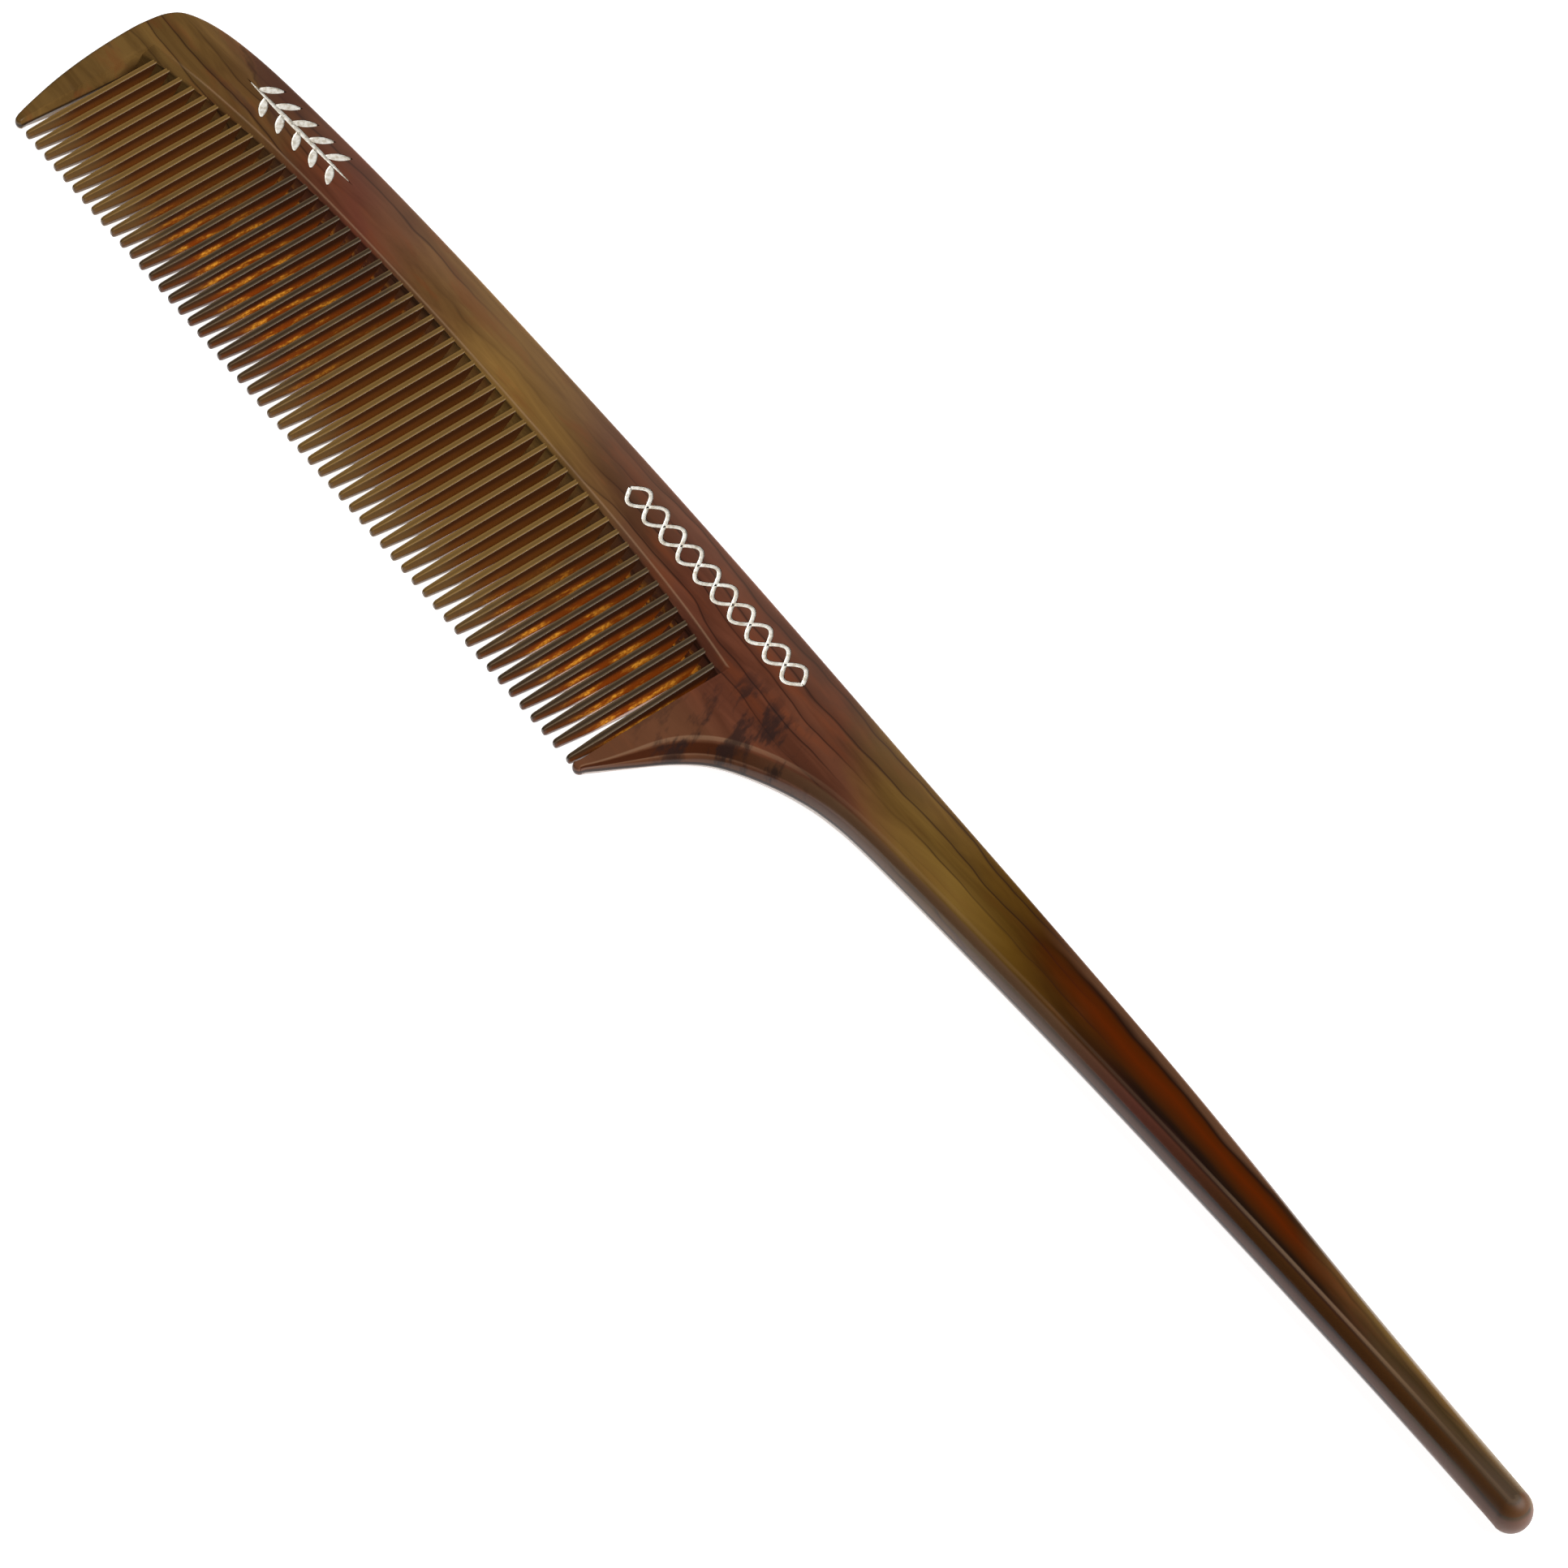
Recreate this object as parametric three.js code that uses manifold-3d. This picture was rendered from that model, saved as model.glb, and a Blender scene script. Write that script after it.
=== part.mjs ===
// A tail comb of polished tortoiseshell acetate: a toothed blade that runs into a long slim handle.
// Millimetres, +Z up. The comb lies on its back face, its length along X with the tail towards +X,
// its teeth towards -Y. Shapes are drawn from the mid-plane: x along the tooth row, y up from the
// tooth tips, z from the middle of the thickness. The finished group is then set on z = 0.

import * as THREE from 'three';
import { mergeVertices } from 'three/addons/utils/BufferGeometryUtils.js';
import Module from 'manifold-3d';

const wasm = await Module();
wasm.setup();

// ---- driving dimensions ----
const thickness = 4;
const toothCount = 54;
const toothPitch = 1.84;
const firstToothX = 0.5;
const tailEndX = 210.9;

// ---- teeth: six-sided, widest on the mid-plane, with narrow flat front and back faces ----
const toothHalfWidth = 0.73;
const toothFaceHalf = 0.3;
const shoulderFaceHalf = 0.38;
const tipHalfWidth = 0.34;
const tipFaceHalf = 0.2;
const tipHalfThickness = 0.5;
const shoulderHeight = 3.6;
const tipRound = 0.25;
const lastToothLean = 0.4;

// ---- root line: the crease on each face where the teeth begin ----
const gulletDepth = 3.4;
const stubLength = 0.35;
const stubSink = 0.04;
const rootSteps = 40;

// ---- end guards ----
const toeInnerX = -0.95;
const heelInnerX = 99.1;
const toeCutY = 12.5;
const heelCutY = 12.5;
const guardWallDraft = 0.35;
const guardTipShare = 0.27;

// ---- edges ----
const easedEdge = 0.55;
const heelEdge = 2;
const tailEdge = 1.45;
const tailEndEdge = 1.6;
const guardTipEdge = 0.35;
const tailCutX = 121.2;
const tailEndRadius = 1.9;

// ---- stamped foil ornaments on the front face ----
const stampDepth = 0.15;
const foilThickness = 0.05;
const stampClearance = 0.04;
const sprigLength = 19;
const sprigStem = 0.5;
const sprigLeaves = 10;
const leafLength = 3;
const leafWidth = 0.9;
const leafAngle = THREE.MathUtils.degToRad(42);
const twistLength = 29;
const twistHeight = 2.4;
const twistLine = 0.4;
const twistWaves = 5;

const half = thickness / 2;

const point = ([x, y]) => new THREE.Vector2(x, y);
const spline = (list) => new THREE.SplineCurve(list.map(point));
const lerp = THREE.MathUtils.lerp;
const smoothstep = THREE.MathUtils.smoothstep;

// The comb's upper edge, from the outer side of the head to the start of the tail's round end.
const headTop = [[-5.05, 17.2], [-4.8, 19.5], [-3.5, 21.2], [-0.1, 22.7]];
const crownLine = [
  [-0.1, 22.7], [4.8, 23.65], [12, 24.3], [26, 24.95], [58, 25.4], [92, 25.12], [122, 24.38],
];
const tailTop = [[122, 24.38], [140, 24], [158, 23.55], [182, 22.5], [tailEndX - tailEndRadius, 21.5]];
// The head's outer edge, down to the toe guard's tip.
const headSide = [[-5.05, 17.2], [-5, 15.5], [-4.6, 9.9], [-3.93, 6.2], [-2.85, 2.5], [-2.14, 0.45]];
// The long concave sweep from the heel guard's tip into the underside of the tail.
const heelSweep = [
  [100.27, 0.39], [102.45, 4.3], [104.5, 7.85], [106.9, 10.6], [110.9, 13], [115, 14.65],
  [118.5, 15.45], [122, 15.85],
];
const tailUnder = [[122, 15.85], [136, 16.55], [160, 17.3], [184, 17.7], [tailEndX - tailEndRadius, 17.75]];
// The crease of the tooth roots on the front and back faces.
const creaseLine = spline([
  [toeInnerX - 1, 15.95], [10, 17.65], [19.3, 18.4], [48, 19.15], [77, 18.75], [90, 18.1],
  [heelInnerX + 1, 17.05],
]);

// Height of a curve that runs from left to right, at x.
function heightAt(curve, x) {
  let low = 0;
  let high = 1;
  for (let step = 0; step < 30; step += 1) {
    const middle = (low + high) / 2;
    if (curve.getPoint(middle).x < x) low = middle;
    else high = middle;
  }
  return curve.getPoint(low).y;
}

const creaseY = (x) => heightAt(creaseLine, x);
const gulletY = (x) => creaseY(x) - gulletDepth;

// ---- edge sections: how far the outline moves inwards at a share u of the half thickness ----
const section = {
  chamfer: (width, u) => width * u,
  round: (width, u) => width * (1 - Math.sqrt(1 - u * u)),
  eased: (width, u) => {
    const share = THREE.MathUtils.clamp((u * half - (half - width)) / width, 0, 1);
    return width * (1 - Math.sqrt(1 - share * share));
  },
};
const upperLevels = [0, 0.4, 0.74, 0.92, 1];
const levels = [...upperLevels.slice(1).map((u) => -u).reverse(), ...upperLevels];
const cornerCosine = Math.cos(THREE.MathUtils.degToRad(25));

// One side of a plate: points along it, its edge section, and that section's width at a point.
function side(points, form, width) {
  const widthAt = typeof width === 'function' ? width : () => width;
  return { points, form: section[form], widthAt };
}

const along = (list, steps) => spline(list).getPoints(steps);

function roundEnd(centreX, centreY, radiusX, radiusY, fromDegrees, toDegrees, steps) {
  const points = [];
  for (let step = 0; step <= steps; step += 1) {
    const angle = THREE.MathUtils.degToRad(lerp(fromDegrees, toDegrees, step / steps));
    points.push(point([centreX + radiusX * Math.cos(angle), centreY + radiusY * Math.sin(angle)]));
  }
  return points;
}

// The outline pulled in at one level. Sides run counter-clockwise, so inwards is to the left.
function insetLoop(edges, u) {
  return edges.map((edge, index) => {
    const before = edges[(index + edges.length - 1) % edges.length];
    const insetBefore = before.form(before.widthAt(edge.start), u);
    const insetAfter = edge.form(edge.widthAt(edge.start), u);
    const cosine = before.inward.dot(edge.inward);
    const moved = edge.start.clone();
    if (cosine > cornerCosine) {
      const mitre = (insetBefore + insetAfter) / (1 + cosine) / 2;
      moved.addScaledVector(before.inward, mitre).addScaledVector(edge.inward, mitre);
    } else {
      const spread = 1 - cosine * cosine;
      moved.addScaledVector(before.inward, (insetBefore - cosine * insetAfter) / spread);
      moved.addScaledVector(edge.inward, (insetAfter - cosine * insetBefore) / spread);
    }
    return moved;
  });
}

// A closed solid from loops of equal length, stacked from first to last. flatten gives a loop's own
// plane, in which it runs counter-clockwise seen from the last loop's side.
function stackLoops(loops, flatten) {
  const count = loops[0].length;
  const positions = loops.flat().flatMap((vertex) => [vertex.x, vertex.y, vertex.z]);
  const faces = [];
  for (let row = 0; row < loops.length - 1; row += 1) {
    for (let column = 0; column < count; column += 1) {
      const next = (column + 1) % count;
      const a = row * count + column;
      const b = row * count + next;
      faces.push(a, b, b + count, a, b + count, a + count);
    }
  }
  const top = (loops.length - 1) * count;
  for (const [a, b, c] of THREE.ShapeUtils.triangulateShape(loops[0].map(flatten), [])) {
    faces.push(top + a, top + b, top + c, a, c, b);
  }
  const geometry = new THREE.BufferGeometry();
  geometry.setAttribute('position', new THREE.Float32BufferAttribute(positions, 3));
  geometry.setIndex(faces);
  return geometry;
}

// A plate of the comb's thickness whose sides carry their own edge sections.
function plate(sides) {
  const edges = sides.flatMap(({ points, form, widthAt }) => points.slice(0, -1).map((start, index) => {
    const run = points[index + 1].clone().sub(start).normalize();
    return { start, inward: new THREE.Vector2(-run.y, run.x), form, widthAt };
  }));
  const loops = levels.map((level) => insetLoop(edges, Math.abs(level)).map(
    (vertex) => new THREE.Vector3(vertex.x, vertex.y, level * half),
  ));
  return stackLoops(loops, (vertex) => new THREE.Vector2(vertex.x, vertex.y));
}

// ---- joining and cutting ----
const smallestEdge = 0.004;

function toSolid(geometry) {
  const plain = geometry.clone();
  plain.deleteAttribute('normal');
  plain.deleteAttribute('uv');
  const merged = mergeVertices(plain, 1e-5);
  return new wasm.Manifold(new wasm.Mesh({
    numProp: 3,
    vertProperties: new Float32Array(merged.attributes.position.array),
    triVerts: new Uint32Array(merged.index.array),
  }));
}

function toGeometry(solid) {
  const mesh = solid.simplify(smallestEdge).getMesh();
  const geometry = new THREE.BufferGeometry();
  geometry.setAttribute('position', new THREE.Float32BufferAttribute(mesh.vertProperties, 3));
  geometry.setIndex(Array.from(mesh.triVerts));
  return geometry;
}

// ---- teeth ----
// The faces of a tooth slope straight from the crease at its root down to its thin tip.
function toothHalfThickness(x, y) {
  return lerp(tipHalfThickness, half, y / creaseY(x));
}

// The six corners of a tooth at height y, counter-clockwise seen from its root.
function toothLoop(x, y, halfWidth, faceHalf, halfThickness) {
  return [
    [-faceHalf, halfThickness], [faceHalf, halfThickness], [halfWidth, 0],
    [faceHalf, -halfThickness], [-faceHalf, -halfThickness], [-halfWidth, 0],
  ].map(([dx, z]) => new THREE.Vector3(x + dx, y, z));
}

const stackTooth = (loops) => stackLoops(loops, (vertex) => new THREE.Vector2(vertex.z, vertex.x));
const toothCutY = (x) => gulletY(x) - stubLength;

// The short root of a tooth that belongs to the spine. It runs in under the faces at the crease.
function toothStub(x) {
  const low = toothCutY(x);
  const high = creaseY(x);
  return stackTooth([
    toothLoop(x, low, toothHalfWidth, toothFaceHalf, toothHalfThickness(x, low)),
    toothLoop(x, high, toothHalfWidth, toothFaceHalf, half - stubSink),
    toothLoop(x, high + stubLength, toothHalfWidth, toothFaceHalf, half - 2 * stubSink),
  ]);
}

// The free length of a tooth: parallel down to a shoulder, then pointed, with a blunt tip.
function tooth(x, lean) {
  const cut = toothCutY(x);
  const tipX = x + lean;
  const shoulderX = lerp(tipX, x, shoulderHeight / cut);
  const shoulderHalf = toothHalfThickness(x, shoulderHeight);
  return stackTooth([
    toothLoop(tipX, 0, tipHalfWidth - tipRound / 2, tipFaceHalf / 2, tipHalfThickness - tipRound),
    toothLoop(tipX, tipRound, tipHalfWidth, tipFaceHalf, tipHalfThickness),
    toothLoop(shoulderX, shoulderHeight, toothHalfWidth, shoulderFaceHalf, shoulderHalf),
    toothLoop(x, cut, toothHalfWidth, toothFaceHalf, toothHalfThickness(x, cut)),
  ]);
}

// ---- blank: the whole comb before its teeth are cut ----
function blank() {
  const toeTip = roundEnd(-1.55, 0.55, 0.6, 0.6, 190, 350, 6);
  const heelTip = roundEnd(99.62, 0.45, 0.65, 0.65, 190, 355, 6);
  const tailEndTop = tailTop[tailTop.length - 1][1];
  const tailEndUnder = tailUnder[tailUnder.length - 1][1];
  const tailEnd = roundEnd(
    tailEndX - tailEndRadius, (tailEndTop + tailEndUnder) / 2,
    tailEndRadius, (tailEndTop - tailEndUnder) / 2, -90, 90, 12,
  );
  const rootLine = [];
  for (let step = 0; step <= rootSteps; step += 1) {
    const x = lerp(toeInnerX, heelInnerX, step / rootSteps);
    rootLine.push(point([x, gulletY(x)]));
  }
  const headWidth = (at) => lerp(guardTipEdge, easedEdge, smoothstep(at.y, 0, 8));
  const sweepWidth = (at) => lerp(guardTipEdge, heelEdge, smoothstep(at.y, 0, 9))
    + lerp(0, tailEdge - heelEdge, smoothstep(at.x, 108, 120));
  const underWidth = (at) => lerp(tailEdge, tailEndEdge, smoothstep(at.x, 150, tailEndX));
  const topWidth = (at) => lerp(easedEdge, tailEndEdge, smoothstep(at.x, 130, tailEndX - tailEndRadius));
  return toSolid(plate([
    side(toeTip, 'round', guardTipEdge),
    side([toeTip[toeTip.length - 1], point([toeInnerX, 2]), rootLine[0]], 'chamfer', guardWallDraft),
    side(rootLine, 'chamfer', gulletDepth),
    side([rootLine[rootSteps], point([heelInnerX - 0.1, 3]), heelTip[0]], 'chamfer', guardWallDraft),
    side(heelTip, 'round', guardTipEdge),
    side([heelTip[heelTip.length - 1], ...along(heelSweep, 28).slice(1)], 'round', sweepWidth),
    side(along(tailUnder, 20), 'round', underWidth),
    side(tailEnd, 'round', tailEndEdge),
    side(along(tailTop, 20).reverse(), 'round', topWidth),
    side(along(crownLine, 24).reverse(), 'eased', easedEdge),
    side(along(headTop, 14).reverse(), 'eased', easedEdge),
    side([...along(headSide, 18).slice(0, -1), toeTip[0]], 'eased', headWidth),
  ]));
}

// ---- the blank divided into its parts ----
// A block as deep as needed between two corners, to cut or keep a part of the blank.
function block([lowX, lowY], [highX, highY]) {
  const geometry = new THREE.BoxGeometry(highX - lowX, highY - lowY, 2 * thickness);
  return toSolid(geometry.translate((lowX + highX) / 2, (lowY + highY) / 2, 0));
}

const outside = 400;
const middleX = (toeInnerX + heelInnerX) / 2;
const toeBlock = block([-outside, -outside], [middleX, toeCutY]);
const heelBlock = block([middleX, -outside], [tailCutX, heelCutY]);
const tailBlock = block([tailCutX, -outside], [outside, outside]);
const combBlank = blank();

// A guard thins in a straight taper from its root to its tip.
function guard(cutter, cutY) {
  const solid = combBlank.intersect(cutter);
  const geometry = toGeometry(solid);
  const places = geometry.attributes.position;
  for (let index = 0; index < places.count; index += 1) {
    const share = lerp(guardTipShare, 1, Math.max(0, places.getY(index)) / cutY);
    places.setZ(index, places.getZ(index) * share);
  }
  return geometry;
}

// ---- foil ornaments: a leafy sprig near the head and a twist of two waves near the heel ----
// A flat shape as a solid between two heights over the mid-plane.
function slice(shape, bottom, top) {
  const depth = top - bottom;
  const geometry = new THREE.ExtrudeGeometry(shape, { depth, bevelEnabled: false, curveSegments: 4 });
  return geometry.translate(0, 0, bottom);
}

function leafShape(length, width) {
  const shape = new THREE.Shape();
  shape.moveTo(0, 0);
  shape.quadraticCurveTo(length * 0.45, -width, length, 0);
  shape.quadraticCurveTo(length * 0.45, width, 0, 0);
  return shape;
}

// A stem along X with leaves set alternately above and below it.
function sprig(grow, bottom, top) {
  const stem = slice(leafShape(sprigLength + 2 * grow, sprigStem + grow), bottom, top);
  let solid = toSolid(stem.translate(-sprigLength / 2 - grow, 0, 0));
  for (let index = 0; index < sprigLeaves; index += 1) {
    const leaf = slice(leafShape(leafLength + 2 * grow, leafWidth + 2 * grow), bottom, top);
    const direction = index % 2 === 0 ? 1 : -1;
    const x = lerp(-0.4, 0.3, index / (sprigLeaves - 1)) * sprigLength;
    leaf.translate(-grow, 0, 0).rotateZ(direction * leafAngle).translate(x, 0, 0);
    solid = solid.add(toSolid(leaf));
  }
  return solid;
}

// Two equal waves that cross each other, with a short run past the last crossing at each end.
function twist(grow, bottom, top) {
  const ribbon = (amplitude) => {
    const halfLine = twistLine / 2 + grow;
    const steps = twistWaves * 8;
    const upper = [];
    const lower = [];
    for (let step = 0; step <= steps; step += 1) {
      const x = lerp(-0.5, 0.5, step / steps) * (twistLength + 2 * grow);
      const phase = (2 * Math.PI * twistWaves * x) / twistLength;
      const slope = (amplitude * 2 * Math.PI * twistWaves * Math.cos(phase)) / twistLength;
      const rise = halfLine * Math.hypot(1, slope);
      upper.push(point([x, amplitude * Math.sin(phase) + rise]));
      lower.push(point([x, amplitude * Math.sin(phase) - rise]));
    }
    return toSolid(slice(new THREE.Shape([...lower, ...upper.reverse()]), bottom, top));
  };
  return ribbon(twistHeight / 2).add(ribbon(-twistHeight / 2));
}

function placed(solid, [x, y], degrees) {
  return solid.rotate([0, 0, degrees]).translate([x, y, 0]);
}

const ornaments = [
  { name: 'foil_sprig', make: sprig, at: [17.8, 21.5], turn: 2 },
  { name: 'foil_twist', make: twist, at: [90.5, 21.8], turn: -1 },
];

function spine() {
  let solid = combBlank.subtract(toeBlock).subtract(heelBlock).subtract(tailBlock);
  for (let index = 0; index < toothCount; index += 1) {
    solid = solid.add(toSolid(toothStub(firstToothX + index * toothPitch)));
  }
  for (const { make, at, turn } of ornaments) {
    const pocket = make(stampClearance, half - stampDepth, half + stampDepth);
    solid = solid.subtract(placed(pocket, at, turn));
  }
  return toGeometry(solid);
}

function foil({ make, at, turn }) {
  const bottom = half - stampDepth;
  return toGeometry(placed(make(0, bottom, bottom + foilThickness), at, turn));
}

// ---- the comb ----
const acetate = () => new THREE.MeshStandardMaterial({ color: 0x5a3a1e, roughness: 0.16, metalness: 0 });
const amberAcetate = () => new THREE.MeshStandardMaterial({ color: 0x6b3d17, roughness: 0.2, metalness: 0 });
const silverFoil = () => new THREE.MeshStandardMaterial({ color: 0xd8d2c4, roughness: 0.35, metalness: 1 });

const comb = new THREE.Group();

function addPiece(name, geometry, material) {
  const mesh = new THREE.Mesh(geometry, material);
  mesh.name = name;
  comb.add(mesh);
}

addPiece('spine', spine(), acetate());
addPiece('tail', toGeometry(combBlank.intersect(tailBlock)), acetate());
addPiece('toe_guard', guard(toeBlock, toeCutY), acetate());
addPiece('heel_guard', guard(heelBlock, heelCutY), acetate());
for (let index = 0; index < toothCount; index += 1) {
  const lean = index === toothCount - 1 ? lastToothLean : 0;
  const number = String(index + 1).padStart(2, '0');
  addPiece(`tooth_${number}`, tooth(firstToothX + index * toothPitch, lean), amberAcetate());
}
for (const ornament of ornaments) addPiece(ornament.name, foil(ornament), silverFoil());

// The back face goes to z = 0 and the middle of the comb's box to the origin.
const box = new THREE.Box3().setFromObject(comb);
comb.position.set(-(box.min.x + box.max.x) / 2, -(box.min.y + box.max.y) / 2, -box.min.z);

export default comb;
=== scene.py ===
import math
from collections import namedtuple

import bmesh
import bpy
from mathutils import Matrix, Vector
from mathutils.geometry import delaunay_2d_cdt


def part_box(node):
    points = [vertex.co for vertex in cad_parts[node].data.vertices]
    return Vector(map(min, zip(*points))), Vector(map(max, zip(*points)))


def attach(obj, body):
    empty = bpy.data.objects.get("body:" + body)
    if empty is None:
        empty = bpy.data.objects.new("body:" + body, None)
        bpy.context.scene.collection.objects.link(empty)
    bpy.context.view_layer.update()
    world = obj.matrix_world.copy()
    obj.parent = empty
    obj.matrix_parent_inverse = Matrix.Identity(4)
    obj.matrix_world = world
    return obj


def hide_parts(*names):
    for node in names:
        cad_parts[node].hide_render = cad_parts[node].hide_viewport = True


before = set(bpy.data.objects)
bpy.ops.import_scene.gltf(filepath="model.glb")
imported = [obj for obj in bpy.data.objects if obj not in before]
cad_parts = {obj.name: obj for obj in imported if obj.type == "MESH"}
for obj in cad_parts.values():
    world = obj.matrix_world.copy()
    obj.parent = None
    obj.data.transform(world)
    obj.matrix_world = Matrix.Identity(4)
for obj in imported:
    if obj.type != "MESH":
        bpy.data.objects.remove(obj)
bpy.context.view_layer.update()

# A tail comb of polished tortoiseshell acetate. Shapes are drawn in millimetres on the comb's own
# mid-plane: x along the tooth row, y up from the tooth tips, z from the middle of the thickness.
# in_frame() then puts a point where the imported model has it, in metres.

MM = 0.001

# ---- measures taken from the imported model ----
spine_low, spine_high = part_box("spine")
first_low, first_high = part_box("tooth_01")
second_low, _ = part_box("tooth_02")
TOOTH_COUNT = sum(name.startswith("tooth_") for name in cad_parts)
TOOTH_PITCH = (second_low.x - first_low.x) / MM
THICKNESS = (spine_high.z - spine_low.z) / MM
HALF = THICKNESS / 2
FIRST_TOOTH_X = 0.5
TAIL_END_X = 210.9
ORIGIN = Vector((
    (first_low.x + first_high.x) / 2 - FIRST_TOOTH_X * MM,
    first_low.y,
    (spine_low.z + spine_high.z) / 2,
))

# ---- teeth: halves are half widths ----
TOOTH_HALF = 0.73
TOOTH_FACE_HALF = 0.3
SHOULDER_HALF = 0.70
SHOULDER_FACE_HALF = 0.37
TIP_HALF = 0.34
SHOULDER_HEIGHT = 3.6
SHOULDER_BELOW = 0.35
SHOULDER_ABOVE = 0.25
TIP_HALF_THICKNESS = 0.5
FACE_RISE = 0.075
GROOVE_DEPTH = 0.02
TOOTH_CORNER = 0.05
TOOTH_LAND = 0.08
TOOTH_SHARP_ANGLE = 24
ROOT_TOP = 18.9
LAST_TOOTH_LEAN = 0.4
TONE_SEED = 7

# ---- blade: crease, bevel band and gullet along the tooth roots ----
BAND_SLOPE = math.tan(math.radians(16))
BAND_OVERLAP = 0.1
GULLET_DEPTH = 3.4
GULLET_CURVE = 1.3

# ---- end guards, which are thinned towards their tips ----
TOE_INNER_X = -0.95
HEEL_INNER_X = 99.1
INNER_WALL_TOP = 12
TOE_TIP_AT = (-1.55, 0.55)
TOE_TIP_RADIUS = 0.6
HEEL_TIP_AT = (99.72, 0.425)
HEEL_TIP_RADIUS = 0.62
GUARD_FULL_Y = 16.5
GUARD_TIP_SHARE = 0.27
GUARD_THINNING = 1.15
GUARD_BLEND = 0.8
GUARD_WALL_DRAFT = 0.35
GUARD_FACES = ((-5, -1), (99, 114))
GUARD_GRID = 0.5
GUARD_GRID_TOP = 17
GUARD_CLEARANCE = 0.45
GUARD_SEARCH = 3

# ---- edges: how wide they are, and the stretches of x or y over which they change ----
EASED = 0.55
WALL_CROWN = 0.06
HEEL_EDGE = 2.0
TAIL_EDGE = 1.45
TAIL_END_EDGE = 1.6
GUARD_TIP_EDGE = 0.24
TAIL_END_RADIUS = 1.9
HEEL_VEE = 0.1
TAIL_VEE = 0.12
HEEL_FULLNESS = 2.25
TAIL_FULLNESS = 2.0
TOE_SWEEP = (0, 8)
HEEL_SWEEP = (0, 9)
NECK = (108, 120)
LOWER_TURN = (120, 165)
UPPER_TURN = (125, 195)
TAIL_START = 150
FACE_SUPPORT = 0.15
SHARP_ANGLE = 35

# ---- how finely the outline is divided ----
TIP_STEPS = 10
TAIL_END_STEPS = 28
ROOT_STEPS = 194
UPPER_STEPS = 14
LOWER_STEPS = 12
CREASE_STEPS = 12
LEVEL_SHARES = (0, .12, .25, .38, .5, .6, .69, .76, .81, .85, .885, .915, .94, .96, .98, .992, 1)
ROOT_SHARE = 0.8
RIDGE_SHARE = 0.975
CORNER_COSINE = math.cos(math.radians(30))
FACES_INSIDE_OUTLINES = 1
SAME_POINT = 1e-6

# ---- stamped foil ornaments ----
STAMP_DEPTH = 0.15
STAMP_GAP = 0.04
FOIL_RIM = 0.02
FOIL_BED = 0.09
FOIL_FOLD = 0.1
FOIL_FOLD_LIMIT = 0.35
FOIL_LEAST_WIDTH = 0.05
STRIP_POINT = 0.001
SPRIG_AT = (17.8, 21.5)
SPRIG_TURN = 2
SPRIG_LENGTH = 19
SPRIG_STEM = 0.5
SPRIG_LEAVES = 10
SPRIG_LEAF_SPAN = (-0.4, 0.3)
STEM_STEPS = 24
LEAF_LENGTH = 3
LEAF_WIDTH = 0.9
LEAF_ANGLE = 42
LEAF_STEPS = 12
TWIST_AT = (90.5, 21.8)
TWIST_TURN = -1
TWIST_LENGTH = 29
TWIST_HEIGHT = 2.4
TWIST_LINE = 0.4
TWIST_WAVES = 5
TWIST_WAVE_STEPS = 24

# ---- outlines, from the toe to the tail's end ----
UPPER_EDGE = [
    (-2.14, 0.45), (-2.85, 2.5), (-3.93, 6.2), (-4.6, 9.9), (-4.98, 14.0), (-5.02, 17.2), (-4.68, 19.6),
    (-3.4, 21.3), (-0.1, 22.7), (4.8, 23.65), (12, 24.3), (26, 24.95), (42, 25.3), (58, 25.39), (75, 25.35),
    (92, 25.12), (107, 24.77), (122, 24.38), (140, 24.0), (158, 23.55), (170, 23.1), (182, 22.5),
    (195.5, 21.95), (209, 21.5),
]
LOWER_EDGE = [
    (100.27, 0.39), (102.45, 4.3), (104.5, 7.85), (106.9, 10.6), (110.9, 13.0), (115, 14.65), (118.5, 15.45),
    (122, 15.85), (128, 16.2), (136, 16.55), (148, 17.0), (160, 17.3), (172, 17.53), (184, 17.7),
    (196, 17.77), (209, 17.75),
]
CREASE = [
    (-5, 15.3), (-1.9, 15.95), (4, 16.9), (10, 17.65), (19.3, 18.4), (33, 18.95), (48, 19.15), (63, 19.0),
    (77, 18.75), (90, 18.1), (100.1, 17.05), (106, 16.2),
]


def in_frame(x, y, z):
    return ORIGIN + Vector((x, y, z)) * MM


def mix(a, b, share):
    return a + (b - a) * share


def smooth(low, high, value):
    """0 at low, 1 at high, smooth between."""
    share = min(1.0, max(0.0, (value - low) / (high - low)))
    return share * share * (3 - 2 * share)


def spline(points, steps):
    """A smooth curve through the points, with the same number of steps between each two."""
    knots = [Vector(p) for p in points]
    knots = [knots[0] * 2 - knots[1], *knots, knots[-1] * 2 - knots[-2]]
    curve = []
    for a, b, c, d in zip(knots, knots[1:], knots[2:], knots[3:]):
        square = 2 * a - 5 * b + 4 * c - d
        cube = 3 * b - a - 3 * c + d
        for step in range(steps):
            t = step / steps
            curve.append(0.5 * (2 * b + (c - a) * t + square * t * t + cube * t ** 3))
    curve.append(knots[-2])
    return curve


def arc(centre_x, centre_y, radius_x, radius_y, start, end, steps):
    points = []
    for step in range(steps + 1):
        angle = math.radians(mix(start, end, step / steps))
        x = centre_x + radius_x * math.cos(angle)
        points.append(Vector((x, centre_y + radius_y * math.sin(angle))))
    return points


CREASE_CURVE = spline(CREASE, CREASE_STEPS)


def crease_y(x):
    for a, b in zip(CREASE_CURVE, CREASE_CURVE[1:]):
        if b.x >= x:
            return mix(a.y, b.y, (x - a.x) / (b.x - a.x))
    return CREASE_CURVE[-1].y


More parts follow.
